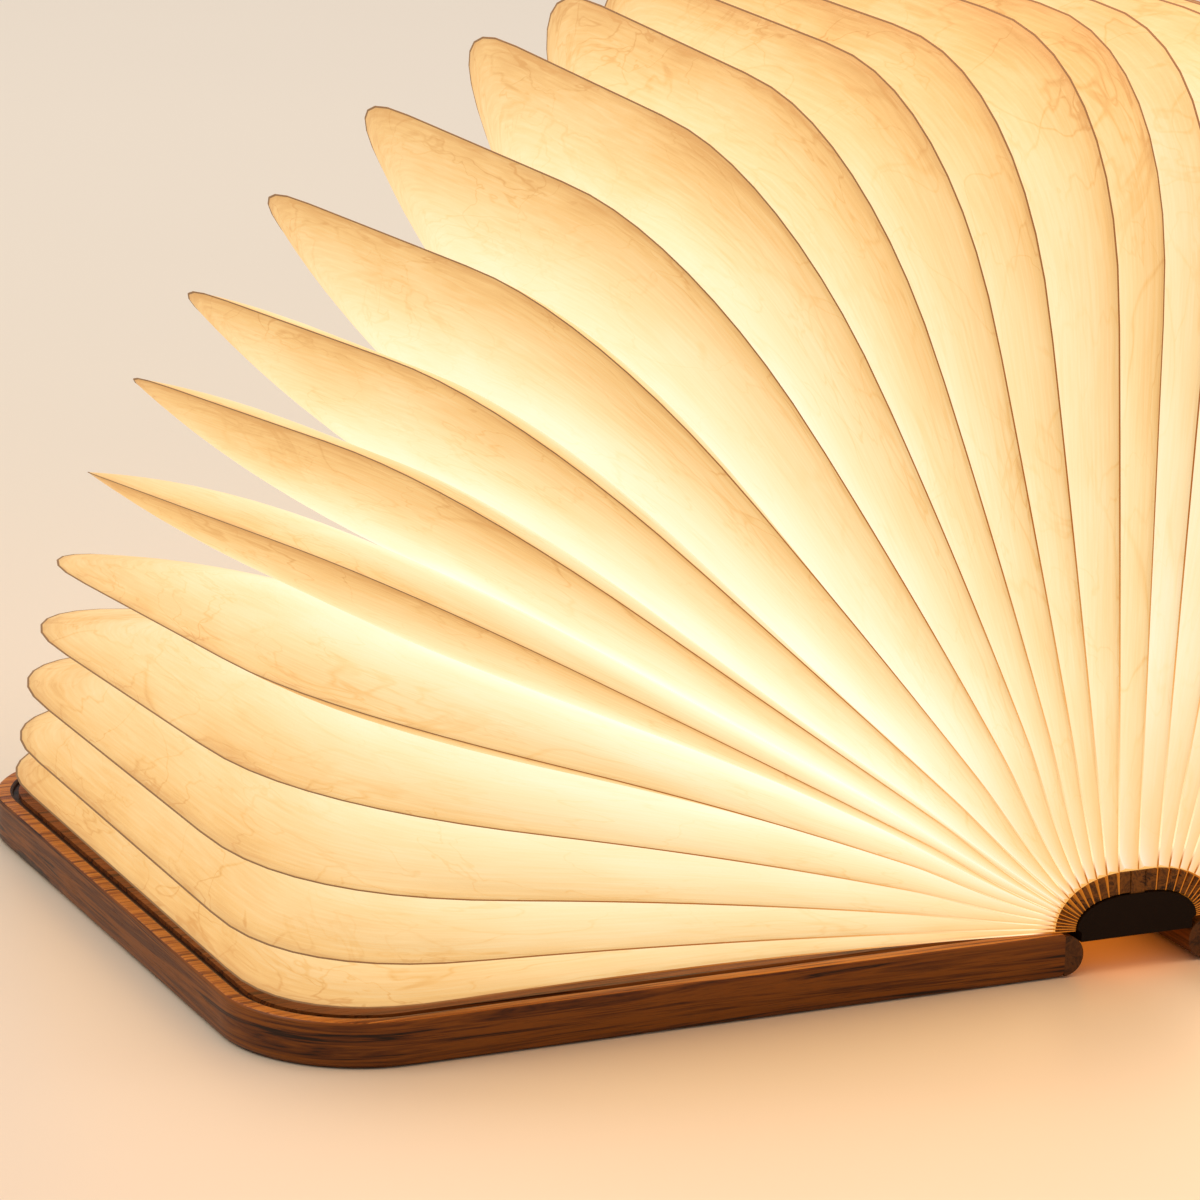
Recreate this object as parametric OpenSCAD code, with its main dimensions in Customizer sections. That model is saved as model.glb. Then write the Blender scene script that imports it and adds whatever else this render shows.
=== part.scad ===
// Folding book lamp, shown open: a fan of paper leaves standing on two wooden covers.
// X runs across the open book, Y along its spine and Z up; the covers lie on Z = 0.

/* [Covers] */
// Width of one cover, from its spine edge to its fore edge
cover_w = 192; // [150:1:220]
// Height of the book, along the spine
cover_h = 212; // [170:1:250]
// Thickness of a cover
cover_t = 10.5; // [9:0.5:14]
// Radius of a cover's two fore-edge corners
cover_r = 32; // [10:1:36]
// Width of the rim round an end board
rim_w = 5; // [4:0.5:8]
// Thickness of an end board, which is let into the cover
end_board_t = 1; // [0.6:0.1:1.6]
// Groove round an end board
board_groove = 0.5; // [0.3:0.1:0.8]

/* [Hinge strips] */
// Outer radius of the half-round strip on a cover's spine edge
strip_r = 4.75; // [4:0.05:4.75]
// How far the strips reach in past the first pivots
strip_inset = 2; // [1.5:0.1:2.5]

/* [Leaves] */
// Leaves on each side of the centre slat
leaves_per_side = 15; // [15]
// Thickness of a paper leaf
page_t = 0.2; // [0.15:0.05:0.25]
// Radius of a leaf's two outer corners
page_r = 45; // [20:1:55]
// How far a leaf's ends lie in from the cover's ends
page_end_in = 0.5; // [0.5:0.25:3]
// How far a leaf's fore edge lies in from the cover's fore edge
page_fore_in = 0.5; // [0.5:0.25:4]
// How far the quarter-way leaves lean from an even fan, in degrees
fan_lean = 4.3; // [3:0.1:7]
// How far the half-way leaves lean towards the covers, in degrees
fan_droop = 6.5; // [0:0.1:7]

/* [Slats] */
// Radial depth of the slats at the roots of the leaves
slat_depth = 5; // [4:0.1:6]
// Thickness of a leaf and its slat next to a cover
slat_t_min = 0.43; // [0.4:0.01:0.5]
// Thickness of a leaf and its slat next to the centre slat
slat_t_max = 3.1; // [2.8:0.1:3.4]
// How late the slats thicken towards the centre, as a power
slat_taper = 3.1; // [2.8:0.1:3.4]
// Thickness of the centre slat
centre_slat_t = 3.6; // [3.2:0.1:4.5]

/* [Pleats] */
// Thickness of the pleated skin between two leaves
pleat_t = 0.3; // [0.25:0.05:0.4]
// How far a pleat's valley lies in from the leaves' edges
pleat_depth = 65; // [40:1:65]
// How far the pleats stand out past the leaves' edges
pleat_out = 0.8; // [0.8:0.05:1]

/* [Spine case] */
// Height of the case's underside above the table
case_lift = 8.1; // [7.6:0.1:8.4]
// Thickness of the lid under the case
lid_t = 1.2; // [1:0.1:1.3]
// Thickness of a case end cap
cap_t = 2.4; // [2:0.1:3.5]
// Width of the hollow in the case
hollow_w = 18; // [17.4:0.1:18.4]
// Height of the hollow in the case
hollow_h = 4.6; // [4.5:0.05:4.7]

/* [Electrics] */
// Width of the battery
battery_w = 17; // [14:0.5:17]
// Length of the battery
battery_l = 100; // [80:1:105]
// Thickness of the battery
battery_t = 4; // [3.5:0.1:4]
// Width of the control board
board_w = 16; // [14:0.5:17]
// Length of the control board
board_l = 58; // [50:1:60]
// Thickness of the control board
board_t = 1; // [0.8:0.1:1]
// Width of the charging socket's shell
socket_w = 8.9; // [8.9]
// Height of the charging socket's shell
socket_h = 3.2; // [3.2]
// Depth of the charging socket's shell
socket_l = 7.4; // [7:0.1:8]
// Width of the light strip
strip_light_w = 2.8; // [2.4:0.1:3]
// Thickness of the light strip
strip_light_t = 0.4; // [0.3:0.1:0.5]
// Light-emitting chips on the strip
chip_count = 26; // [16:1:30]
// Side of a light-emitting chip
chip_side = 1.6; // [1.2:0.1:2]
// Height of a light-emitting chip
chip_h = 0.6; // [0.4:0.1:0.8]
// How far the end chips lie in from the leaves' ends
chip_margin = 7; // [6:0.5:10]
// Radius of the switch magnet
magnet_r = 5; // [3:0.5:6]
// Thickness of the switch magnet
magnet_t = 2; // [1:0.5:3]
// How far the switch magnet's middle lies in from the cover's spine edge
magnet_in = 12; // [11:0.5:20]

/* [Screws] */
// Nominal radius of a lid screw
screw_r = 1; // [0.8:0.1:1]
// Length of a lid screw under its head
screw_l = 4; // [3.5:0.1:4]
// Radius of a lid screw's head
screw_head_r = 1.9; // [1.7:0.1:2.1]
// Height of a lid screw's head
screw_head_h = 0.7; // [0.5:0.1:0.8]

/* [Hidden] */
$fn = 64;
LEAF_NAMES = ["leaf_01", "leaf_02", "leaf_03", "leaf_04", "leaf_05", "leaf_06", "leaf_07", "leaf_08",
    "leaf_09", "leaf_10", "leaf_11", "leaf_12", "leaf_13", "leaf_14", "leaf_15"];

// Clearances
seat_gap = 0.1;        // a loose fit in a pocket or slot
leaf_gap = 0.03;       // between two slats of the closed stack
cover_gap = 0.2;       // between a closed cover and its first leaf
case_gap = 0.3;        // between the case and what moves round it
ridge_gap = 0.15;      // between a pleat's ridge and the leaf's face
wiring_gap = 6;        // round the battery and the board, along the spine
valley_back = 4;       // behind a pleat's valley, where its two arms join

// The fan: leaf k stands at fan_angle(k) over its cover and is slat_t(k) thick at its root
function fan_angle(k) = let (s = k / (leaves_per_side + 0.5))
    90 * s - fan_lean * sin(360 * s) - fan_droop * sin(180 * s);
function slat_t(k) = slat_t_min + (slat_t_max - slat_t_min) * pow(k / leaves_per_side, slat_taper);
function run_x(k) = k < 1 ? 0 : run_x(k - 1) + slat_t(k) * sin(fan_angle(k));
function run_z(k) = k < 1 ? 0 : run_z(k - 1) + slat_t(k) * cos(fan_angle(k));

arch_half = run_x(leaves_per_side) + centre_slat_t / 2;
foot_z = cover_t + cover_gap;
crown_z = foot_z + run_z(leaves_per_side);
// The pivot between leaf k and the next leaf on the right-hand side, as [x, z]
function pivot(k) = [arch_half - run_x(k), foot_z + run_z(k)];

cover_edge = arch_half + strip_r - strip_inset;
leaf_reach = cover_edge + cover_w - arch_half - page_fore_in;
page_half = cover_h / 2 - page_end_in;
slat_outer = slat_depth + seat_gap;
light_outer = slat_outer + strip_light_t + chip_h + slat_t(leaves_per_side) * cos(fan_angle(leaves_per_side));

// The spine case's outline follows the arch of pivots from inside
case_half = cover_edge - case_gap - sqrt(pow(strip_r, 2) - pow(case_lift - cover_t / 2, 2));
case_floor = case_lift + lid_t;
case_top = crown_z - case_gap * sin(fan_angle(leaves_per_side));
case_l = cover_h - 2 * cap_t;
hollow_l = battery_l + board_l + 3 * wiring_gap;
hollow_mid_y = cover_h / 2 - cap_t - hollow_l / 2;
light_tail_y = 70;
light_tail_w = 2;
light_tail_t = 0.3;
screw_x = 6.5;
screw_y_front = -case_l / 2 + (case_l - hollow_l) / 4;
screw_y_mid = -case_l / 2 + (case_l - hollow_l) * 2 / 3;
battery_mid_y = hollow_mid_y - hollow_l / 2 + battery_l / 2 + wiring_gap;
board_mid_y = hollow_mid_y + hollow_l / 2 - board_l / 2 - wiring_gap;
board_z = case_floor + hollow_h - board_t;
sensor_side = 2;
sensor_h = 0.8;
magnet_x = cover_edge + magnet_in;
corner_steps = 4;

// A cover's outline on the right-hand side, inset all round by d, from spine edge x0
module cover_outline(d, x0) {
    r = cover_r - d;
    x1 = cover_edge + cover_w - d;
    h = cover_h / 2 - d;
    translate([x0, -h]) square([x1 - r - x0, 2 * h]);
    translate([x0, -h + r]) square([x1 - x0, 2 * (h - r)]);
    for (side = [-1, 1]) translate([x1 - r, side * (h - r)]) circle(r);
}

module mirrored(on) {
    if (on) mirror([1, 0, 0]) children();
    else children();
}

module cover_board(has_magnet) color("#4a2413") difference() {
    linear_extrude(cover_t) cover_outline(0, cover_edge);
    translate([0, 0, cover_t - end_board_t])
        linear_extrude(end_board_t + 1) cover_outline(rim_w, cover_edge + rim_w);
    if (has_magnet) translate([magnet_x, 0, cover_t - end_board_t - magnet_t - seat_gap])
        cylinder(h = magnet_t + end_board_t + 1, r = magnet_r + seat_gap);
}

module end_board() color("#8a4b22") translate([0, 0, cover_t - end_board_t])
    linear_extrude(end_board_t) cover_outline(rim_w + board_groove, cover_edge + rim_w + board_groove);

// Half-round moulding along a cover's spine edge
module hinge_strip() color("#6b3a1e")
    translate([cover_edge, cover_h / 2, cover_t / 2]) rotate([90, 0, 0]) linear_extrude(cover_h)
    difference() {
        circle(strip_r);
        translate([0, -strip_r - 1]) square(2 * strip_r + 2);
    }

// A leaf in its own place: its root edge on X = 0, its lower face on Z = 0
module leaf_sheet() {
    x1 = leaf_reach;
    linear_extrude(page_t) {
        translate([0, -page_half]) square([x1 - page_r, 2 * page_half]);
        translate([0, -page_half + page_r]) square([x1, 2 * (page_half - page_r)]);
        for (side = [-1, 1]) translate([x1 - page_r, side * (page_half - page_r)]) circle(page_r);
    }
}

// Leaf k: its paper sheet and the slat glued on the sheet's root
module leaf(k) translate([pivot(k - 1)[0], 0, pivot(k - 1)[1]]) rotate([0, -fan_angle(k), 0]) {
    color("#f3d9a4") leaf_sheet();
    color("#5c3018") translate([0, -page_half, page_t])
        cube([slat_depth, 2 * page_half, slat_t(k) - page_t - leaf_gap]);
}

// A point over leaf k's lower face, r out from its root, y along it and n above the face
function leaf_point(k, r, y, n) = let (a = fan_angle(k), p = pivot(k - 1))
    [p[0] + r * cos(a) - n * sin(a), y, p[1] + r * sin(a) + n * cos(a)];

// A leaf's outline moved out by d, from its front root round the fore edge to its rear root
function outline_points(d, root) = let (r = page_r + (d > 0 ? d : d / 4), xc = leaf_reach + d - r, yc = page_half + d - r)
    concat([[root, -page_half - d]],
        [for (i = [0 : corner_steps]) let (a = 90 * i / corner_steps) [xc + r * sin(a), -yc - r * cos(a)]],
        [for (i = [0 : corner_steps]) let (a = 90 * i / corner_steps) [xc + r * cos(a), yc + r * sin(a)]],
        [[root, page_half + d]]);

// A pleat bulges from its ridges, at share 0 of its depth, to its valley at share 1, half-way between the leaves
bulge_shares = [0.2, 0.5, 1];
function bulge(share) = 1 - pow(1 - share, 2);

// A point on a pleat's arm over one face: share of the depth in, and the skin's thickness behind when back is true
function arm_point(near, far, i, share, back, root) =
    let (e = outline_points(pleat_out - (pleat_depth + pleat_out) * share, root)[i],
         foot = near(e, ridge_gap), top = (near(e, 0) + far(e, 0)) / 2, rise = norm(top - foot), h = bulge(share))
    foot + (top - foot) * (back ? max(0.4 * h, h - pleat_t / rise) : h);

// The section at outline point i: over the low leaf to the valley, up to the high leaf, and back behind the skin
function pleat_ring(low, high, i, root) = let (n = len(bulge_shares),
    behind = outline_points(-pleat_depth - valley_back, root)[i])
    concat([arm_point(low, high, i, 0, false, root)],
        [for (j = [0 : n - 1]) arm_point(low, high, i, bulge_shares[j], false, root)],
        [for (j = [n - 2 : -1 : 0]) arm_point(high, low, i, bulge_shares[j], false, root)],
        [arm_point(high, low, i, 0, false, root)],
        [for (j = [0 : n - 2]) arm_point(high, low, i, bulge_shares[j], true, root)],
        [(low(behind, 0) + high(behind, 0)) / 2],
        [for (j = [n - 2 : -1 : 0]) arm_point(low, high, i, bulge_shares[j], true, root)]);

// Closed skin swept along rings of twelve points, its front and back split along the same diagonals; cap_faces close
// its two ends
cap_faces = [[0, 1, 11], [1, 2, 10], [1, 10, 11], [2, 3, 9], [2, 9, 10],
    [3, 4, 8], [3, 8, 9], [4, 5, 7], [4, 7, 8], [5, 6, 7]];
module swept(rings) {
    n = len(rings);
    m = len(rings[0]);
    polyhedron(
        points = [for (one = rings) each one],
        faces = concat(
            [for (f = cap_faces) f],
            [for (f = cap_faces) [for (i = [2 : -1 : 0]) (n - 1) * m + f[i]]],
            [for (i = [0 : n - 2], j = [0 : m - 1]) let (a = i * m + j, b = i * m + (j + 1) % m)
                each j < m / 2 ? [[a, a + m, b], [b, a + m, b + m]] : [[a, a + m, b + m], [a, b + m, b]]]));
}

// The bulging pleat between two leaves, given how each one places a point n over its face
module pleat(low, high, root) swept([for (i = [0 : len(outline_points(0, root)) - 1]) pleat_ring(low, high, i, root)]);

module side_pleats() color("#ffe2a8")
    for (k = [1 : leaves_per_side - 1])
        pleat(function (e, n) leaf_point(k, e[0], e[1], page_t + n), function (e, n) leaf_point(k + 1, e[0], e[1], -n),
            slat_outer);

module centre_pleat() color("#ffe2a8")
    pleat(function (e, n) leaf_point(leaves_per_side, e[0], e[1], page_t + n),
          function (e, n) let (p = leaf_point(leaves_per_side, e[0], e[1], page_t + n)) [-p[0], p[1], p[2]],
          light_outer);

// The pivot after leaf k, moved in towards the case by its clearance
function case_point(k) = pivot(k) - case_gap * [cos(fan_angle(k)), sin(fan_angle(k))];
right_arch = [for (k = [1 : leaves_per_side]) case_point(k)];

// Section of the spine case above the lid: straight sides, then the arch
module case_section() polygon(concat(
    [[case_half, case_floor], [case_half, foot_z - case_gap]],
    right_arch,
    [for (k = [leaves_per_side - 1 : -1 : 0]) [-right_arch[k][0], right_arch[k][1]]],
    [[-case_half, foot_z - case_gap], [-case_half, case_floor]]));

// A section drawn in X and Z, run along Y from y0 over a length
module along_spine(y0, length) translate([0, y0 + length, 0]) rotate([90, 0, 0]) linear_extrude(length) children();

module screw_places() for (x = [-screw_x, screw_x], y = [screw_y_front, screw_y_mid]) translate([x, y, 0]) children();

module light_tail_slot(grow) translate([0, light_tail_y, 0])
    translate([-light_tail_t / 2 - grow, -light_tail_w / 2 - grow, board_z + board_t])
    cube([light_tail_t + 2 * grow, light_tail_w + 2 * grow, crown_z + slat_depth - board_z - board_t]);

module spine_case() color("#2b1a12") difference() {
    along_spine(-case_l / 2, case_l) case_section();
    translate([-hollow_w / 2, hollow_mid_y - hollow_l / 2, case_floor - 1])
        cube([hollow_w, hollow_l + 1, hollow_h + 1]);
    light_tail_slot(seat_gap);
    screw_places() translate([0, 0, case_floor - 1]) cylinder(h = screw_l - lid_t + seat_gap + 1, r = screw_r);
}

module spine_lid() color("#1d120d") difference() {
    translate([-case_half, -case_l / 2, case_lift]) cube([2 * case_half, case_l, lid_t]);
    screw_places() translate([0, 0, case_lift - 1]) cylinder(h = lid_t + 2, r = screw_r + seat_gap);
    screw_places() translate([0, 0, case_lift - 1])
        cylinder(h = screw_head_h + 1, r = screw_head_r + seat_gap);
}

module end_cap_section() {
    case_section();
    translate([-case_half, case_lift]) square([2 * case_half, lid_t]);
}

module front_end_cap() color("#21150f") along_spine(-cover_h / 2, cap_t) end_cap_section();

socket_z = board_z - socket_h / 2;
module socket_outline(grow) {
    r = socket_h / 2 + grow;
    translate([-socket_w / 2 + socket_h / 2, -r]) square([socket_w - socket_h, 2 * r]);
    for (side = [-1, 1]) translate([side * (socket_w - socket_h) / 2, 0]) circle(r);
}

module rear_end_cap() color("#21150f") difference() {
    along_spine(cover_h / 2 - cap_t, cap_t) end_cap_section();
    translate([0, cover_h / 2 + 1, socket_z]) rotate([90, 0, 0])
        linear_extrude(cap_t + 2) socket_outline(seat_gap);
}

module centre_slat() color("#5c3018") difference() {
    translate([-centre_slat_t / 2 + leaf_gap, -page_half, case_top])
        cube([centre_slat_t - 2 * leaf_gap, 2 * page_half, crown_z + slat_depth - case_top]);
    light_tail_slot(seat_gap);
}

module led_strip() color("#f2efe6") {
    translate([-strip_light_w / 2, -page_half + 3, crown_z + slat_depth])
        cube([strip_light_w, 2 * page_half - 6, strip_light_t]);
    light_tail_slot(0);
}

chip_pitch = 2 * (page_half - chip_margin) / (chip_count - 1);
module led_chips() color("#ffd98a")
    for (i = [0 : chip_count - 1])
        translate([-chip_side / 2, -page_half + chip_margin + i * chip_pitch - chip_side / 2, crown_z + slat_depth + strip_light_t])
            cube([chip_side, chip_side, chip_h]);

module battery() color("#b9bdc2")
    translate([-battery_w / 2, battery_mid_y - battery_l / 2, case_floor]) cube([battery_w, battery_l, battery_t]);

module control_board() color("#1f5c3a")
    translate([-board_w / 2, board_mid_y - board_l / 2, board_z]) cube([board_w, board_l, board_t]);

module charge_socket() color("#c9ccd0") translate([0, cover_h / 2 - 0.2, socket_z]) rotate([90, 0, 0]) {
    difference() {
        linear_extrude(socket_l) socket_outline(0);
        translate([0, 0, -1]) linear_extrude(socket_l) socket_outline(-0.3);
    }
    translate([-3.3, -0.35, 1]) cube([6.6, 0.7, socket_l - 2]);
}

module opening_sensor() color("#222222")
    translate([board_w / 2 - sensor_side - 1, board_mid_y - board_l / 2 + 2, board_z - sensor_h])
        cube([sensor_side, sensor_side, sensor_h]);

module lid_screws() color("#9a9a98") screw_places() {
    translate([0, 0, case_lift]) cylinder(h = screw_head_h, r = screw_head_r);
    translate([0, 0, case_lift + screw_head_h]) cylinder(h = screw_l - screw_head_h, r = screw_r);
}

module switch_magnet() color("#c4c7ca")
    translate([magnet_x, 0, cover_t - end_board_t - magnet_t]) cylinder(h = magnet_t, r = magnet_r);

for (side = ["left", "right"]) mirrored(side == "left") {
    cover_board(side == "right");
    end_board();
    hinge_strip();
    side_pleats();
    for (k = [1 : leaves_per_side])
        leaf(k);
}
switch_magnet();
centre_pleat();
spine_case();
spine_lid();
front_end_cap();
rear_end_cap();
centre_slat();
led_strip();
led_chips();
battery();
control_board();
charge_socket();
opening_sensor();
lid_screws();
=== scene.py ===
"""Folding book lamp, open: walnut covers, a fan of glowing paper leaves and an arch of slats."""
import math

import bmesh
import bpy
from mathutils import Matrix, Vector, noise


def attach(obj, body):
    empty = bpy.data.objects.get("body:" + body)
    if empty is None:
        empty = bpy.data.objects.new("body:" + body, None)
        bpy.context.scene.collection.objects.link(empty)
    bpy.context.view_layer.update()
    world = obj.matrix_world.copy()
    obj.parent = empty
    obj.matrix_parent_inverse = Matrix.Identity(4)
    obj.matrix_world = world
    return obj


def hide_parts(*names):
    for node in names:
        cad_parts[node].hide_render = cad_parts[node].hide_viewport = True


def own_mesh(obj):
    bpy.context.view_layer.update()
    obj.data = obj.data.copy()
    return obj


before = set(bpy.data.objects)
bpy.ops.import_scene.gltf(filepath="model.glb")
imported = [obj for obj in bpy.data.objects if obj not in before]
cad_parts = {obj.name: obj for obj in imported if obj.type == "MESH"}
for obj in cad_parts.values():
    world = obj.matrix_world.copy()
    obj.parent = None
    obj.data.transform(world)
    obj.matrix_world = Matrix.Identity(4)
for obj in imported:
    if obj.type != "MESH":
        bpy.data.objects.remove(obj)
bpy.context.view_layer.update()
MM = 0.001

# Sizes of the book in millimetres, the same as in the part's source
COVER_W, COVER_H, COVER_T, COVER_R = 192, 212, 10.5, 32
RIM, BOARD_T = 5, 1
LEAVES, PAGE_T, PAGE_END_IN, FORE_IN = 15, 0.2, 0.5, 0.5
SLAT_DEPTH, SLAT_THIN, SLAT_THICK, SLAT_TAPER, CENTRE_SLAT = 5, 0.43, 3.1, 3.1, 3.6
STRIP_R, STRIP_INSET, LEAF_GAP, COVER_GAP = 4.75, 2, 0.03, 0.2
FOLD_DEPTH = 65      # how far in the paper's valleys lie behind the leaf edges
PAPER = 0.08         # thickness of one sheet of the paper
SHUT = 0.06          # how far off the cover's face the end paper lies
STIFF_RUN = 40       # length beyond the slats over which a leaf comes to hang freely


def fan_angle(k):
    """Angle in degrees between leaf k and its cover."""
    s = k / (LEAVES + 0.5)
    return 90 * s - 4.3 * math.sin(math.tau * s) - 6.5 * math.sin(math.pi * s)


def slat_t(k):
    """Thickness of leaf k and its slat together."""
    return SLAT_THIN + (SLAT_THICK - SLAT_THIN) * (k / LEAVES) ** SLAT_TAPER


def pivots():
    """The hinge lines between the leaves on the right-hand side, as (x, z)."""
    runs = [(0.0, 0.0)]
    for k in range(1, LEAVES + 1):
        a = math.radians(fan_angle(k))
        runs.append((runs[-1][0] + slat_t(k) * math.sin(a), runs[-1][1] + slat_t(k) * math.cos(a)))
    half = runs[-1][0] + CENTRE_SLAT / 2
    return [(half - x, COVER_T + COVER_GAP + z) for x, z in runs]


PIVOT = pivots()
ARCH_HALF = PIVOT[0][0]
COVER_EDGE = ARCH_HALF + STRIP_R - STRIP_INSET
LEAF_REACH = COVER_EDGE + COVER_W - ARCH_HALF - FORE_IN
PAGE_HALF = COVER_H / 2 - PAGE_END_IN

# How the open leaves hang: the lean at the near end of leaf k, the twist to its far end and the curl, in
# degrees. Those by the cover sag under their own weight; the ones that stand over them twist.
HANG = ((3.3, 0.8, 5.7), (6.0, 0.7, 4.9), (11.7, -0.1, 6.5), (18.2, -2.0, 7.9), (24.6, -3.6, 8.4),
        (30.2, -6.2, 1.6), (36.3, -5.7, -0.1), (43.2, -4.5, 1.5), (51.6, -2.6, 3.8), (60.3, -0.5, 6.0),
        (67.6, 2.0, 6.5), (72.4, 3.0, 4.5), (77.0, 1.4, 1.6), (81.6, 0.3, 1.4), (87.6, 0.2, 1.0))


def leaf_lean(k, x, y):
    """Angle in degrees of leaf k at x, y: its fan angle at the stiff root, then as it hangs."""
    near, twist, curl = HANG[k - 1]
    hang = near + twist * (y / PAGE_HALF + 1) / 2 - curl * x / LEAF_REACH / 2
    free = max(0.0, min(1.0, (x - SLAT_DEPTH) / STIFF_RUN))
    return fan_angle(k) + (hang - fan_angle(k)) * free * free * (3 - 2 * free)


def leaf_point(k, x, y, n):
    """A point x out along leaf k, y along the spine and n over its lower face, on the right-hand side."""
    a = math.radians(leaf_lean(k, x, y))
    px, pz = PIVOT[k - 1]
    return Vector((px + x * math.cos(a) - n * math.sin(a), y, pz + x * math.sin(a) + n * math.cos(a)))


# ---------------------------------------------------------------- mesh helpers

def finish_piece(name, bm, body, material, mirrored=False, replaces=(), smooth=True):
    """Makes the bmesh, in millimetres, a piece that rides on a body."""
    bmesh.ops.transform(bm, matrix=Matrix.Scale(MM, 4), verts=bm.verts)
    if mirrored:
        bmesh.ops.scale(bm, vec=(-1, 1, 1), verts=bm.verts)
        bmesh.ops.reverse_faces(bm, faces=bm.faces)
    mesh = bpy.data.meshes.new(name)
    bm.to_mesh(mesh)
    bm.free()
    piece = bpy.data.objects.new(name, mesh)
    bpy.context.scene.collection.objects.link(piece)
    for finish in material if isinstance(material, tuple) else (material,):
        mesh.materials.append(finish)
    if smooth:
        mesh.shade_smooth()
    else:
        mesh.shade_flat()
    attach(piece, body)
    if replaces:
        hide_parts(*replaces)
    return piece


def bevel_edges(bm, edges, width, segments):
    """Rounds edges by width."""
    bmesh.ops.bevel(bm, geom=edges, offset=width, offset_type="OFFSET", affect="EDGES", segments=segments,
                    profile=0.5, material=-1, clamp_overlap=True)


def box_bmesh(low, high):
    """A box between two corners."""
    bm = bmesh.new()
    bmesh.ops.create_cube(bm, size=1)
    low, high = Vector(low), Vector(high)
    bmesh.ops.scale(bm, vec=high - low, verts=bm.verts)
    bmesh.ops.translate(bm, vec=(low + high) / 2, verts=bm.verts)
    return bm


# ---------------------------------------------------------------- material helpers

# What the sums and blends in the materials do
TIMES, TIMES_ADD, LESS = ({"operation": name} for name in ("MULTIPLY", "MULTIPLY_ADD", "SUBTRACT"))
KEPT_IN = {"operation": "MULTIPLY_ADD", "use_clamp": True}      # the sum is kept between 0 and 1
BLEND = {"data_type": "RGBA"}                                   # input 0 turns colour 6 into colour 7
BLENDED = 2                                                     # the output that holds the blended colour


def colour(hexcode):
    """An sRGB hex colour as linear RGBA."""
    parts = [int(hexcode[i:i + 2], 16) / 255 for i in (1, 3, 5)]
    return tuple(c / 12.92 if c <= 0.04045 else ((c + 0.055) / 1.055) ** 2.4 for c in parts) + (1,)


def set_inputs(node, links):
    """Gives inputs, by name or by an i and their number, a value or a link from another node."""
    for name, value in links.items():
        socket = node.inputs[int(name[1:]) if name[1:].isdigit() else name.replace("_", " ")]
        if isinstance(value, bpy.types.NodeSocket):
            node.id_data.links.new(value, socket)
        else:
            socket.default_value = value


def add_node(tree, kind, settings=None, out=0, **links):
    """Adds a node, sets its properties or colour stops and its inputs, and returns one of its outputs."""
    node = tree.nodes.new("ShaderNode" + kind)
    for name, value in (settings or {}).items():
        if name == "stops":
            points = node.color_ramp.elements
            while len(points) < len(value):
                points.new(0.5)
            for point, (place, hexcode) in zip(points, value):
                point.position, point.color = place, colour(hexcode)
        else:
            setattr(node, name, value)
    set_inputs(node, links)
    return node.outputs[out]


def new_material(name, **values):
    """A material with a Principled shader. Returns it, its node tree and the shader."""
    made = bpy.data.materials.new(name)
    made.use_nodes = True
    shader = made.node_tree.nodes["Principled BSDF"]
    set_inputs(shader, values)
    # The lit surfaces are met often enough by bounced light
    made.cycles.emission_sampling = "NONE"
    return made, made.node_tree, shader


def object_place(tree, scale=(1, 1, 1)):
    """Object coordinates in millimetres, stretched by scale."""
    place = add_node(tree, "TexCoord", out="Object")
    return add_node(tree, "Mapping", Vector=place, Scale=tuple(s / MM for s in scale))


# ---------------------------------------------------------------- materials

PAPER_GLOW = 0.77       # strength of the light that comes through the paper


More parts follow.
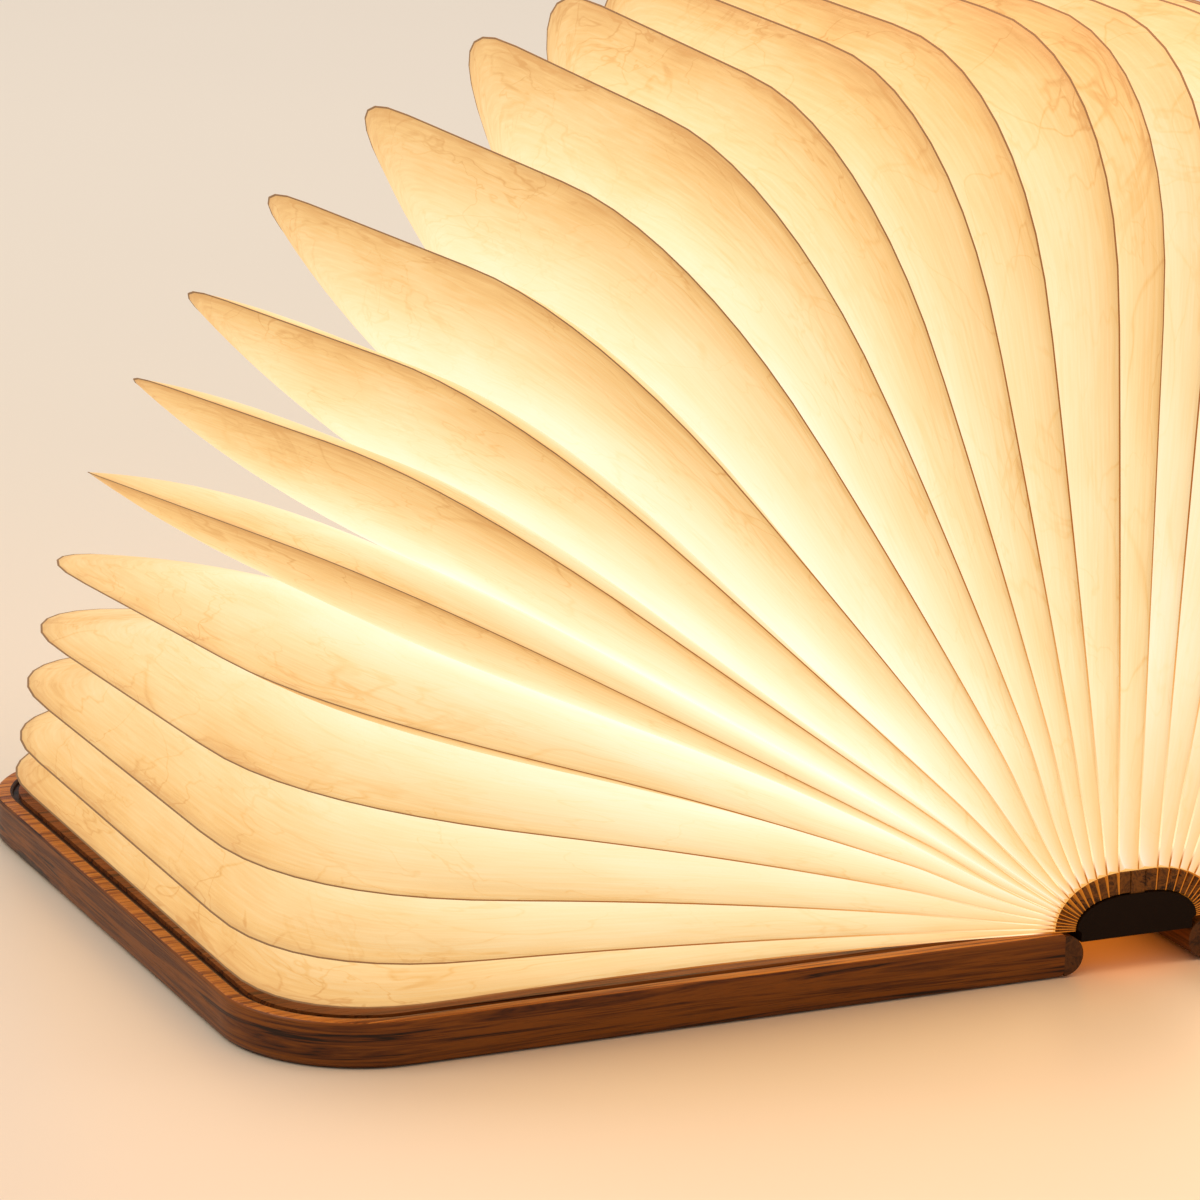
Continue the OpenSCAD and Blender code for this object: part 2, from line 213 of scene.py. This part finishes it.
def glowing_paper():
    """Spun-fibre lamp paper lit from inside: tan by its glued edges, cream and almost white in the folds."""
    made, tree, shader = new_material("glowing spun fibre paper", Roughness=0.62, Specular_IOR_Level=0.25,
                                      Emission_Strength=PAPER_GLOW)
    lit, spine, creased = (add_node(tree, "Attribute", {"attribute_name": name}, "Fac")
                           for name in ("lit", "spine", "creased"))
    uv = add_node(tree, "UVMap", {"uv_map": "paper"})
    # Fine wrinkles about 1 mm apart run out along the leaf, a little across its edge, and fade in the folds
    place = add_node(tree, "Mapping", Vector=uv, Rotation=(0, 0, 0.38), Scale=(0.06, 1.1, 1))
    wrinkle = add_node(tree, "TexNoise", Vector=place, Scale=1.0, Detail=2.5, Roughness=0.6, Distortion=0.5)
    wrinkle = add_node(tree, "Math", TIMES_ADD, i0=wrinkle, i1=0.42, i2=-0.21)
    # Long fibres laid in the sheet: wandering lines 20 to 60 mm long, drawn 0.4 mm wide so that they show
    fibre = 0.0
    for turn, scale, width in ((0.62, (0.010, 0.028, 1), 0.0085), (0.25, (0.016, 0.05, 1), 0.010),
                               (1.05, (0.02, 0.04, 1), 0.007)):
        place = add_node(tree, "Mapping", Vector=uv, Rotation=(0, 0, turn), Location=(9 * turn, 4, 0),
                         Scale=scale)
        field = add_node(tree, "TexNoise", Vector=place, Scale=1.0, Detail=4.0, Roughness=0.48,
                         Distortion=0.6)
        off = add_node(tree, "Math", {"operation": "ABSOLUTE"},
                       i0=add_node(tree, "Math", LESS, i0=field, i1=0.5))
        line = add_node(tree, "Math", KEPT_IN, i0=off, i1=-1 / width, i2=1.0)
        fibre = add_node(tree, "Math", {"operation": "MAXIMUM"}, i0=line, i1=fibre)
    patch = add_node(tree, "Math", TIMES_ADD, i0=creased, i1=0.6, i2=0.4)
    fibre = add_node(tree, "Math", TIMES, i0=fibre, i1=patch)
    # Both fade where the paper is brightest
    plain = add_node(tree, "Math", TIMES_ADD, i0=lit, i1=-0.75, i2=1.0)
    marks = add_node(tree, "Math", TIMES_ADD, i0=fibre, i1=-0.21, i2=wrinkle)
    light = add_node(tree, "Math", TIMES_ADD, i0=marks, i1=plain, i2=lit)
    glow = add_node(tree, "ValToRGB", {"stops": ((0.0, "#dda763"), (0.2, "#f0c480"), (0.42, "#f9daa2"),
                                                 (0.62, "#fce9be"), (0.82, "#fff3d6"), (1.0, "#fff9e8"))},
                    Fac=light)
    # Close to the spine the light has passed more paper and turns orange
    glow = add_node(tree, "Mix", BLEND, BLENDED, i0=spine, i6=glow, i7=colour("#ffc06a"))
    base = add_node(tree, "Mix", BLEND, BLENDED, i0=0.72, i6=glow, i7=colour("#4a453e"))
    dents = add_node(tree, "TexNoise", Vector=uv, Scale=0.7, Detail=1.0)
    bump = add_node(tree, "Bump", Height=dents, Strength=0.2, Distance=0.0006)
    set_inputs(shader, {"Emission Color": glow, "Base Color": base, "Normal": bump})
    return made


def cut_paper_edge():
    """Two sheets glued and laser cut together: a toasted brown edge, with the light showing through it."""
    made, tree, shader = new_material("laser cut glued paper edge", Roughness=0.7, Specular_IOR_Level=0.2)
    place = object_place(tree)
    # Noise that makes the toasted brown and the painted light uneven along the edge
    toast_and_glow_wobble = add_node(tree, "TexNoise", Vector=place, Scale=0.06, Detail=3.0)
    toast_and_glow_wobble = add_node(tree, "Math", TIMES, i0=toast_and_glow_wobble, i1=0.04)
    flat = add_node(tree, "VectorMath", TIMES, i0=place, i1=(1, 0, 1))
    out = add_node(tree, "VectorMath", {"operation": "LENGTH"}, "Value", i0=flat)
    # How far out from the spine, as a share of the leaf's reach
    far = add_node(tree, "Math", TIMES_ADD, i0=out, i1=1 / 205, i2=toast_and_glow_wobble)
    # The tone is painted light over the toasted brown edge: orange by the slats, cream just outside them
    # where the lamp shines through, and a darkening grey-brown towards the tips
    tone = add_node(tree, "ValToRGB", {"stops": ((0.0, "#a85f1e"), (0.148, "#b0691f"), (0.165, "#ffe9c0"),
                                                 (0.36, "#e6b06a"), (0.55, "#b57231"), (0.85, "#9c6d42"),
                                                 (1.0, "#8a6b4b"))}, Fac=far)
    # Near the lamp the light comes out through the cut edge
    near = add_node(tree, "Math", KEPT_IN, i0=far, i1=-2.0, i2=1.0)
    glow = add_node(tree, "Math", TIMES_ADD, i0=near, i1=0.6, i2=0.34)
    set_inputs(shader, {"Base Color": tone, "Emission Color": tone, "Emission Strength": glow})
    return made


def walnut(name, dark, mid, light, grain_axis="X", roughness=0.42, glow=0.0, uv=None):
    """Oiled walnut veneer: long wandering dark grain, fine pores and a soft satin gloss."""
    made, tree, shader = new_material(name, Roughness=roughness, Specular_IOR_Level=0.2, Coat_Weight=0.12,
                                      Coat_Roughness=0.22)
    along = {"X": (0.008, 0.27, 0.30), "Y": (0.27, 0.008, 0.30)}[grain_axis]
    fine = {"X": (0.07, 1.9, 2.2), "Y": (1.9, 0.07, 2.2)}[grain_axis]
    if uv:
        # The veneer is wrapped round the board's edge, so its grain follows the outline
        flat = add_node(tree, "UVMap", {"uv_map": uv})
        ring_place, pore_place = (add_node(tree, "Mapping", Vector=flat, Scale=scale)
                                  for scale in (along, fine))
    else:
        ring_place, pore_place = object_place(tree, along), object_place(tree, fine)
    # Growth rings cut flat: bands about 3 mm apart
    bands = add_node(tree, "TexNoise", Vector=ring_place, Scale=1.0, Detail=5.0, Roughness=0.62,
                     Distortion=0.9)
    wave = add_node(tree, "Math", {"operation": "PINGPONG"},
                    i0=add_node(tree, "Math", TIMES, i0=bands, i1=5.0), i1=0.5)
    rings = add_node(tree, "Math", TIMES_ADD, i0=bands, i1=0.55, i2=-0.05)
    rings = add_node(tree, "Math", TIMES_ADD, i0=wave, i1=1.15, i2=rings)
    wood = add_node(tree, "ValToRGB", {"stops": ((0.20, dark), (0.34, mid), (0.75, light), (1.0, mid))},
                    Fac=rings)
    # Pores 0.3 mm wide and a few millimetres long, drawn about 0.5 mm wide so that they show
    pores = add_node(tree, "TexNoise", Vector=pore_place, Scale=1.0, Detail=3.0, Roughness=0.7)
    pore = add_node(tree, "Math", KEPT_IN, i0=pores, i1=6.0, i2=-3.18)
    share = add_node(tree, "Math", TIMES, i0=pore, i1=0.42)
    wood = add_node(tree, "Mix", BLEND, BLENDED, i0=share, i6=wood, i7=colour(dark))
    # Light of the paper on the wood, strongest by the spine
    across = add_node(tree, "SeparateXYZ", out="X", Vector=object_place(tree))
    away = add_node(tree, "Math", {"operation": "ABSOLUTE"}, i0=across)
    near = add_node(tree, "Math", KEPT_IN, i0=away, i1=-1 / 215, i2=1.0)
    strength = add_node(tree, "Math", TIMES, i0=near, i1=glow)
    rough = add_node(tree, "MapRange", Value=pores, To_Min=roughness - 0.08, To_Max=roughness + 0.16)
    height = add_node(tree, "Math", LESS, i0=add_node(tree, "Math", TIMES, i0=bands, i1=0.4), i1=pore)
    bump = add_node(tree, "Bump", Height=height, Strength=0.35, Distance=0.0003)
    set_inputs(shader, {"Base Color": wood, "Emission Color": wood, "Emission Strength": strength,
                        "Roughness": rough, "Normal": bump})
    return made


def moulded_plastic(name, tone, roughness, gloss=0.5):
    """Moulded ABS: a fine even spark texture whose tone follows its bumps, a painted shade in the hollows
    where the first tone is the darker.
    """
    made, tree, shader = new_material(name, Roughness=roughness, IOR=1.53, Specular_IOR_Level=gloss)
    grit = add_node(tree, "TexNoise", Vector=object_place(tree), Scale=2.2, Detail=3.0)
    share = add_node(tree, "Math", TIMES, i0=grit, i1=0.4)
    skin = add_node(tree, "Mix", BLEND, BLENDED, i0=share, i6=colour(tone[0]), i7=colour(tone[1]))
    bump = add_node(tree, "Bump", Height=grit, Strength=0.25, Distance=0.0001)
    set_inputs(shader, {"Base Color": skin, "Normal": bump})
    return made


def plated_metal(name, tone, roughness):
    """Plated steel: faint brushed lines along the part."""
    made, tree, shader = new_material(name, Metallic=1.0, Roughness=roughness)
    lines = add_node(tree, "TexNoise", Vector=object_place(tree, (0.2, 0.02, 3)), Scale=1.0, Detail=3.0)
    share = add_node(tree, "Math", TIMES, i0=lines, i1=0.5)
    plate = add_node(tree, "Mix", BLEND, BLENDED, i0=share, i6=colour(tone), i7=colour("#6f6f70"))
    rough = add_node(tree, "MapRange", Value=lines, To_Min=roughness - 0.08, To_Max=roughness + 0.1)
    set_inputs(shader, {"Base Color": plate, "Roughness": rough})
    return made


def circuit_board():
    """Green solder mask over woven glass, with the copper tracks just showing."""
    made, tree, shader = new_material("solder mask on glass board", Roughness=0.35, IOR=1.5)
    weave = add_node(tree, "TexVoronoi", {"distance": "CHEBYCHEV"}, Vector=object_place(tree), Scale=0.55)
    mask = add_node(tree, "ValToRGB", {"stops": ((0.0, "#0f3d24"), (0.35, "#1f6b3f"), (0.9, "#2c8250"))},
                    Fac=weave)
    set_inputs(shader, {"Base Color": mask})
    return made


def painted_board():
    """Smooth matt painted board with the faintest mottling."""
    made, tree, shader = new_material("pale matt floor", Roughness=0.36, Specular_IOR_Level=0.5)
    mottle = add_node(tree, "TexNoise", Vector=object_place(tree), Scale=0.004, Detail=2.0)
    share = add_node(tree, "Math", TIMES, i0=mottle, i1=0.12)
    paint = add_node(tree, "Mix", BLEND, BLENDED, i0=share, i6=colour("#e6dbc8"), i7=colour("#cfc6ba"))
    set_inputs(shader, {"Base Color": paint})
    return made


paper = glowing_paper()
paper_edge = cut_paper_edge()
cover_wood = walnut("oiled walnut veneer", "#1d0b02", "#582a06", "#84490d", glow=0.06, uv="grain")
rim_wood = walnut("walnut rim lit by the paper", "#542509", "#95501a", "#c47a2c", glow=0.55)
board_wood = walnut("walnut end board lit by the paper", "#2e1306", "#6a3412", "#8f4f1e", glow=0.4)
# The groove between the rim and the end board is a dark copy of the walnut: painted shade
shade_dark_groove_wood = walnut("walnut painted dark as shade in the groove", "#120602", "#2a1106", "#3a1a0a")
slat_wood = walnut("laser cut walnut slat", "#2c1503", "#573007", "#7c4a14", "Y", 0.5, 0.08)
strip_wood = walnut("walnut half-round moulding", "#331b08", "#4a2a0f", "#5e3816", "Y", 0.5)
case_plastic = moulded_plastic("black brown moulded ABS", ("#120601", "#1e0c03"), 0.6, 0.12)
white_flex = moulded_plastic("white flexible circuit", ("#f1ede2", "#d9d4c6"), 0.5)
sensor_black = moulded_plastic("sensor epoxy", ("#111111", "#1d1d1d"), 0.35)
steel = plated_metal("nickel plated steel", "#c9cacb", 0.32)
foil = plated_metal("battery foil wrap", "#b3b7bb", 0.45)
board_green = circuit_board()


# ---------------------------------------------------------------- the paper

ALONG = (40, 10, 22, 10, 40)        # mesh steps: near edge, corner, fore edge, corner, far edge
STEPS = sum(ALONG)
DEPTHS = 12                         # mesh steps from a leaf's edge in to the valley
VALLEY_R = 38.5                     # corner radius at the bottom of the valleys
EASE_R, EASE = 62, 0.8              # a leaf's corner eases in from further out than its 45 mm radius
ROOT = SLAT_DEPTH + 0.4             # where the folds start, just outside the slats
BORDER = 0.4                        # glued and cut border of a leaf, outside its folds
BOARD_IN = 9                        # how far in from the leaf's outline the paper is glued on the end board
FULL_OUT = 75                       # how far out from the slats the valleys reach their whole depth
MEET = 0.995                        # share of the half way to the next leaf that a skin goes
RIDGE_IN = 6                        # width of the glued ridge over the centre slat
FOOT = 3                            # length of the paper foot at each end of a fold, between two slats
# How much further in the fore edges of the lowest leaves stand, so that the rim and its groove show
TRIM = {1: 3.6, 2: 2.5, 3: 1.0}


def corner_of(k):
    """Corner radius of leaf k: the leaves that lie on the cover follow its corner more closely."""
    return EASE_R - 22 * max(0.0, 1 - (k - 1) / 3)


def trimmed(x, trim, share):
    """How far out x comes when the fore edge is trimmed. The valley, at share 1, stays in its place."""
    return x * (1 - trim / LEAF_REACH * (1 - share))


def outline_place(step, inset, root=ROOT, corner=EASE_R):
    """A point on a leaf's outline moved in by inset: x, y and the distance gone along the edge."""
    x1, h = LEAF_REACH - inset, PAGE_HALF - inset
    r = corner + (VALLEY_R - corner) * inset / FOLD_DEPTH
    straight, arc, fore = x1 - r - root, r * math.pi / 2, 2 * (h - r)
    part = 0
    while part < 4 and step > ALONG[part]:
        step -= ALONG[part]
        part += 1
    t = step / ALONG[part]
    if part == 0:
        return root + straight * t ** 1.25, -h, straight * t
    if part == 2:
        return x1, -h + r + fore * t, straight + arc + fore * t
    if part == 4:
        return root + straight * (1 - t) ** 1.25, h, straight + 2 * arc + fore + straight * t
    turn = t * math.pi / 2
    rise, fall = r * math.sin(turn) ** EASE, r * max(0.0, math.cos(turn)) ** EASE
    if part == 1:
        return x1 - r + rise, -h + r - fall, straight + arc * t
    return x1 - r + fall, h - r + rise, straight + arc + fore + arc * t


def name_seed(name):
    """A steady number for a piece, so that its creases differ from its neighbours'."""
    return sum((i + 3) * ord(c) for i, c in enumerate(name)) % 97


def give_thickness(piece, thickness):
    """Grows a sheet by half its thickness to either side."""
    wall = piece.modifiers.new("sheet", "SOLIDIFY")
    wall.thickness, wall.offset = thickness * MM, 0


def bulging_skin(name, near, other, body, mirrored, middle, k=LEAVES, start=BORDER, trim=0.0, web=False):
    """One half of a fold: a sheet that leaves leaf k's edge, bulges out and dives in to the valley half-way
    to the next leaf. near(x, y) is the leaf's own face and other(x, y) the face across the fold. A web also
    has the paper feet between the slats."""
    bm = bmesh.new()
    seed, corner = name_seed(name), corner_of(k)
    uv = bm.loops.layers.uv.new("paper")
    lit, spine, creased = (bm.verts.layers.float.new(key) for key in ("lit", "spine", "creased"))
    where = {}
    for v in bmesh.ops.create_grid(bm, x_segments=STEPS, y_segments=DEPTHS, size=0.5)["verts"]:
        step = round((v.co.x + 0.5) * STEPS)
        share = (v.co.y + 0.5) ** 1.35
        out = outline_place(step, start, ROOT, corner)[0] - ROOT
        depth = start + (FOLD_DEPTH - start) * min(1.0, 0.025 + 0.975 * (out / FULL_OUT) ** 0.8)
        x, y, gone = outline_place(step, start + share * (depth - start), ROOT, corner)
        x = trimmed(x, trim, share)
        low, high = near(x, y), other(x, y)
        v.co = low + (high - low) * 0.5 * MEET * (1 - (1 - share) ** 2)
        # Light falls off from the lamp at the spine towards the tips, and is brightest in the middle leaves.
        # A leaf's upper face also catches the light of the fold above it
        reach = x / LEAF_REACH
        caught = 0.30 - 0.18 * share if web else 0.12
        cloud = noise.fractal(Vector((gone / 45, share * depth / 22, seed)), 0.6, 2.0, 3)
        v[lit] = caught + 0.80 * share ** 0.6 + 0.20 * middle - 0.30 * reach ** 2 + 0.10 * cloud
        v[spine] = 0.7 * (1 - 0.7 * share) * max(0.0, 1 - reach / 0.28) ** 1.4
        patch = noise.noise(Vector((gone / 38, share * 2, seed + 7)))
        v[creased] = max(0.0, min(1.0, 0.35 + 1.6 * patch))
        where[v] = (gone + 13 * seed, share * depth)
    if web:
        # The fold's foot at each end: paper across the gap between two slats, seen as an orange line
        for end in (-1, 1):
            y0, y1 = end * PAGE_HALF, end * (PAGE_HALF - FOOT)
            corners = ((y0, near), (y0, other), (y1, other), (y1, near))
            foot = [bm.verts.new(face(ROOT, y)) for y, face in corners]
            for v in foot:
                v[lit], v[spine], v[creased] = 0.0, 1.0, 0.0
                where[v] = (v.co.y, 0)
            bm.faces.new(foot)
    for f in bm.faces:
        for loop in f.loops:
            loop[uv].uv = where[loop.vert]
    piece = finish_piece(name, bm, body, paper, mirrored)
    give_thickness(piece, PAPER)
    return piece


def squash_on_leaf(piece):
    """Gives the paper piece a mesh of its own."""
    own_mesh(piece)


def ridge_point(x, y):
    """The face of the fold's ridge that stands on the centre slat, right-hand side."""
    return Vector((PAPER / 2, y, PIVOT[LEAVES - 1][1] + x))


def cover_point(x, y, over=0.0):
    """A point on the face of the right-hand cover, under the leaves."""
    return Vector((ARCH_HALF + x, y, COVER_T + over))


def make_ridge():
    """The fold over the centre slat: a glued ridge, and half a fold down to the leaf on each side."""
    bm = bmesh.new()
    for v in bmesh.ops.create_grid(bm, x_segments=STEPS, y_segments=1, size=0.5)["verts"]:
        x, y, _ = outline_place(round((v.co.x + 0.5) * STEPS), RIDGE_IN * (v.co.y + 0.5))
        v.co = ridge_point(x, y) - Vector((PAPER / 2, 0, 0))
    border = finish_piece("centre_ridge_border", bm, "core", paper_edge,
                          replaces=("centre_pleat",))
    give_thickness(border, PAPER)
    for side in ("left", "right"):
        half = bulging_skin(f"centre_fold_{side}_half", ridge_point,
                            lambda x, y: leaf_point(LEAVES, x, y, PAGE_T), "core", side == "left", 1.0)
        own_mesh(half)


def make_leaf(side, k):
    """One leaf: its glued sheet, the slat on its root, and its skins of the folds over and under it."""
    mirrored = side == "left"
    leaf, body = f"{side}_leaf_{k:02d}", f"{side}_leaf_{k:02d}_body"
    trim = TRIM.get(k, 0)
    # The flat glued border of the two sheets, and the tab of it that the slats hold
    bm = bmesh.new()
    for v in bmesh.ops.create_grid(bm, x_segments=STEPS, y_segments=4, size=0.5)["verts"]:
        x, y, _ = outline_place(round((v.co.x + 0.5) * STEPS), 0, 0, corner_of(k))
        share = v.co.y + 0.5
        x = trimmed(x, trim, share)
        x, y = x + (0.9 * min(x, LEAF_REACH - EASE_R) - x) * share, y * (1 - share)
        v.co = leaf_point(k, x, y, PAGE_T / 2)
    bmesh.ops.remove_doubles(bm, verts=bm.verts, dist=0.001)
    bmesh.ops.recalc_face_normals(bm, faces=bm.faces)
    sheet = finish_piece(f"{leaf}_sheet", bm, body, paper_edge, mirrored, (leaf,))
    give_thickness(sheet, PAGE_T)
    squash_on_leaf(sheet)
    # The slat glued on the leaf's root, where leaf k stands
    bm = box_bmesh((0.02, -PAGE_HALF, PAGE_T), (SLAT_DEPTH, PAGE_HALF, slat_t(k) - LEAF_GAP))
    bevel_edges(bm, bm.edges[:], min(0.12, 0.3 * (slat_t(k) - PAGE_T - LEAF_GAP)), 1)
    turn = Matrix.Rotation(-math.radians(fan_angle(k)), 3, "Y")
    bmesh.ops.rotate(bm, cent=(0, 0, 0), matrix=turn, verts=bm.verts)
    bmesh.ops.translate(bm, vec=(PIVOT[k - 1][0], 0, PIVOT[k - 1][1]), verts=bm.verts)
    finish_piece(f"{leaf}_slat", bm, body, slat_wood, mirrored, smooth=False)
    # Upper skin, to the next leaf or to the middle of the book
    middle = math.sin(math.pi * min(1, k / 12) * 0.5)
    across = ridge_point if k == LEAVES else lambda x, y: leaf_point(k + 1, x, y, 0)
    upper = bulging_skin(f"{leaf}_upper_skin", lambda x, y: leaf_point(k, x, y, PAGE_T), across, body,
                         mirrored, middle, k, trim=trim, web=True)
    squash_on_leaf(upper)
    # Lower skin, to the leaf before or to the cover
    below = cover_point if k == 1 else lambda x, y: leaf_point(k - 1, x, y, PAGE_T)
    lower = bulging_skin(f"{leaf}_lower_skin", lambda x, y: leaf_point(k, x, y, 0), below, body,
                         mirrored, middle, k, trim=trim)
    squash_on_leaf(lower)


def make_end_paper(side):
    """The skin glued down on the cover's end board. With it a side's folds are whole."""
    paper_down = bulging_skin(f"{side}_end_paper", lambda x, y: cover_point(x, y, SHUT),
                              lambda x, y: leaf_point(1, x, y, 0), f"{side}_board", side == "left", 0.0, 1,
                              start=BOARD_IN)
    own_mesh(paper_down)
    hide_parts(f"{side}_pleats")


for side in ("left", "right"):
    for k in range(1, LEAVES + 1):
        make_leaf(side, k)
    make_end_paper(side)
make_ridge()


# ---------------------------------------------------------------- covers and case

EASED, FOOT_EASED = 0.8, 1.6        # rounding of the covers' edges, and of those that they lie on
ARC_X, ARC_Y = COVER_EDGE + COVER_W - COVER_R, COVER_H / 2 - COVER_R        # centre of a fore corner


def only_verts(geometry):
    """The vertices among what an operator has made."""
    return [part for part in geometry if isinstance(part, bmesh.types.BMVert)]


def rounded_board():
    """A plain cover board on Z = 0 whose two fore corners are rounded."""
    bm = bmesh.new()
    made = bmesh.ops.create_grid(bm, x_segments=1, y_segments=1, size=0.5)["verts"]
    bmesh.ops.scale(bm, vec=(COVER_W, COVER_H, 1), verts=made)
    bmesh.ops.translate(bm, vec=(COVER_EDGE + COVER_W / 2, 0, 0), verts=made)
    corners = [v for v in made if v.co.x > COVER_EDGE + COVER_W / 2]
    bmesh.ops.bevel(bm, geom=corners, offset=COVER_R, offset_type="OFFSET", affect="VERTICES", segments=16,
                    profile=0.5, material=-1)
    grown = bmesh.ops.extrude_face_region(bm, geom=bm.faces[:], use_keep_orig=True)["geom"]
    bmesh.ops.translate(bm, vec=(0, 0, COVER_T), verts=only_verts(grown))
    bmesh.ops.recalc_face_normals(bm, faces=bm.faces)
    return bm


def inside_pocket(c):
    """True for the walls and the bottom of the pocket that the end board lies in."""
    dx, dy = c.x - ARC_X, abs(c.y) - ARC_Y
    off = math.hypot(dx, dy) if dx > 0 and dy > 0 else max(dx, dy)
    return COVER_T - BOARD_T - 0.1 < c.z < COVER_T - 0.02 and c.x > COVER_EDGE + 2 and off < COVER_R - 2


def round_edge(x, y):
    """Distance along a cover's outline to the point nearest x, y."""
    straight, arc = ARC_X - COVER_EDGE, COVER_R * math.pi / 2
    dx, dy = x - ARC_X, abs(y) - ARC_Y
    if dx <= 0:
        gone = x - COVER_EDGE
    elif dy > 0:
        gone = straight + COVER_R * math.atan2(dx, dy)
    else:
        gone = straight + arc + (ARC_Y - abs(y))
    return gone if y < 0 else 2 * (straight + arc + ARC_Y) - gone


def sharp_edges(bm, low, high):
    """The hard edges whose ends both lie between the heights low and high."""
    return [e for e in bm.edges if len(e.link_faces) == 2 and e.calc_face_angle(0) > 0.9
            and all(low < v.co.z < high for v in e.verts)]


def make_cover(side):
    """A walnut board: rounded fore corners, a raised rim round the end board's pocket, all edges eased."""
    mirrored = side == "left"
    bm = rounded_board()
    top = max(bm.faces, key=lambda f: f.calc_center_median().z)
    bmesh.ops.inset_region(bm, faces=[top], thickness=RIM - EASED, use_even_offset=True)
    pocket = max(bm.faces, key=lambda f: (round(f.calc_center_median().z, 3), f.calc_area()))
    grown = bmesh.ops.extrude_face_region(bm, geom=[pocket])["geom"]
    bmesh.ops.translate(bm, vec=(0, 0, -BOARD_T), verts=only_verts(grown))
    if pocket.is_valid:
        bmesh.ops.delete(bm, geom=[pocket], context="FACES_ONLY")
    bmesh.ops.recalc_face_normals(bm, faces=bm.faces)
    upper, under = sharp_edges(bm, COVER_T - 0.01, COVER_T + 1), sharp_edges(bm, -1, 0.01)
    bevel_edges(bm, under, FOOT_EASED, 4)
    bevel_edges(bm, [e for e in upper if e.is_valid], EASED, 3)
    # The grain runs out along the faces and on along the outline
    uv = bm.loops.layers.uv.new("grain")
    bm.normal_update()
    for f in bm.faces:
        n, c = f.normal, f.calc_center_median()
        # Faces that look up take the copy lit by the paper; the pocket's walls and bottom take the dark
        # copy, painted shade in the groove
        f.material_index = 2 if inside_pocket(c) else 1 if n.z > 0.8 else 0
        for loop in f.loops:
            x, y, z = loop.vert.co
            if abs(n.z) > 0.8:
                loop[uv].uv = (x, y + 40)
            elif abs(n.x) > 0.99 and c.x < COVER_EDGE + 1:
                loop[uv].uv = (y, z)
            else:
                loop[uv].uv = (round_edge(x, y), z + (70 if mirrored else 0))
    piece = finish_piece(f"{side}_walnut_cover", bm, f"{side}_board", (cover_wood, rim_wood, shade_dark_groove_wood),
                         mirrored, (f"{side}_cover",))
    piece.data.set_sharp_from_angle(angle=math.radians(40))


def dress(finish, *nodes):
    """Gives nodes of the part their finish."""
    for node in nodes:
        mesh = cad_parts[node].data
        mesh.materials.clear()
        mesh.materials.append(finish)


make_cover("left")
make_cover("right")
dress(board_wood, "left_end_board", "right_end_board")
dress(strip_wood, "left_hinge_strip", "right_hinge_strip")
dress(slat_wood, "centre_slat")
dress(case_plastic, "spine_case", "spine_lid", "front_end_cap", "rear_end_cap")
dress(white_flex, "led_strip", "led_chips")
dress(steel, "charge_socket", "lid_screws", "switch_magnet")
dress(foil, "battery")
dress(board_green, "control_board")
dress(sensor_black, "opening_sensor")


# ---------------------------------------------------------------- room, lights and camera

FLOOR_R = 9                                             # metres, past the edges of every view
CAMERA_AT = Vector((-625.5, -1171.3, 419.8)) * MM
YAW, PITCH, ROLL = math.radians(-24.67), math.radians(15.25), math.radians(1.11)
SENSOR, LENS = 36, 36 * 5681 / 1200                     # millimetres


def add_floor():
    """A wide plain floor."""
    bm = bmesh.new()
    bmesh.ops.create_circle(bm, cap_ends=True, segments=96, radius=FLOOR_R)
    mesh = bpy.data.meshes.new("floor")
    bm.to_mesh(mesh)
    bm.free()
    mesh.materials.append(painted_board())
    floor = bpy.data.objects.new("floor", mesh)
    bpy.context.scene.collection.objects.link(floor)


def add_light(name, place, aim, size, watts, tone, long=None):
    """An area lamp at place that shines towards aim and isn't seen itself."""
    data = bpy.data.lights.new(name, "AREA")
    data.shape, data.size, data.size_y, data.energy = "RECTANGLE", size, long or size, watts
    data.color = colour(tone)[:3]
    lamp = bpy.data.objects.new(name, data)
    lamp.location = place
    lamp.rotation_mode = "QUATERNION"
    lamp.rotation_quaternion = (Vector(aim) - Vector(place)).to_track_quat("-Z", "Y")
    lamp.visible_camera = False
    bpy.context.scene.collection.objects.link(lamp)


def add_camera():
    """A long lens from the left, a little above the book."""
    back = Vector((math.sin(YAW) * math.cos(PITCH), -math.cos(YAW) * math.cos(PITCH), math.sin(PITCH)))
    right = Vector((math.cos(YAW), math.sin(YAW), 0))
    up = back.cross(right)
    right, up = right * math.cos(ROLL) + up * math.sin(ROLL), up * math.cos(ROLL) - right * math.sin(ROLL)
    data = bpy.data.cameras.new("camera")
    data.sensor_width, data.lens = SENSOR, LENS
    data.clip_start, data.clip_end = 0.05, 30
    camera = bpy.data.objects.new("camera", data)
    camera.matrix_world = Matrix((right, up, back)).transposed().to_4x4()
    camera.location = CAMERA_AT
    bpy.context.scene.collection.objects.link(camera)
    bpy.context.scene.camera = camera


add_floor()
add_light("soft box over the left", (-1.3, 0.35, 1.5), (0, 0, 0.05), 1.2, 15, "#fff0e0")
add_light("soft box on the right", (1.5, -0.2, 1.1), (0, 0, 0.05), 1.0, 6, "#fff1de")
add_light("wash behind the lamp", (0.3, 1.3, 2.2), (0.7, 2.2, 0), 2.0, 42, "#fbf8ff")
add_light("glow of the fan on the floor", (0.02, -0.14, 0.46), (0.02, -0.30, 0), 0.40, 1.3, "#ffac48")
add_light("glow under the spine", (0, -0.012, 0.0078), (0, -0.012, 0), 0.026, 0.012, "#ff8a24", 0.20)
world = bpy.data.worlds.new("room")
world.use_nodes = True
set_inputs(world.node_tree.nodes["Background"], {"Color": colour("#f3ece4"), "Strength": 0.42})
scene = bpy.context.scene
scene.world = world
scene.view_settings.view_transform = "Standard"
scene.cycles.max_bounces, scene.cycles.diffuse_bounces = 5, 3
add_camera()
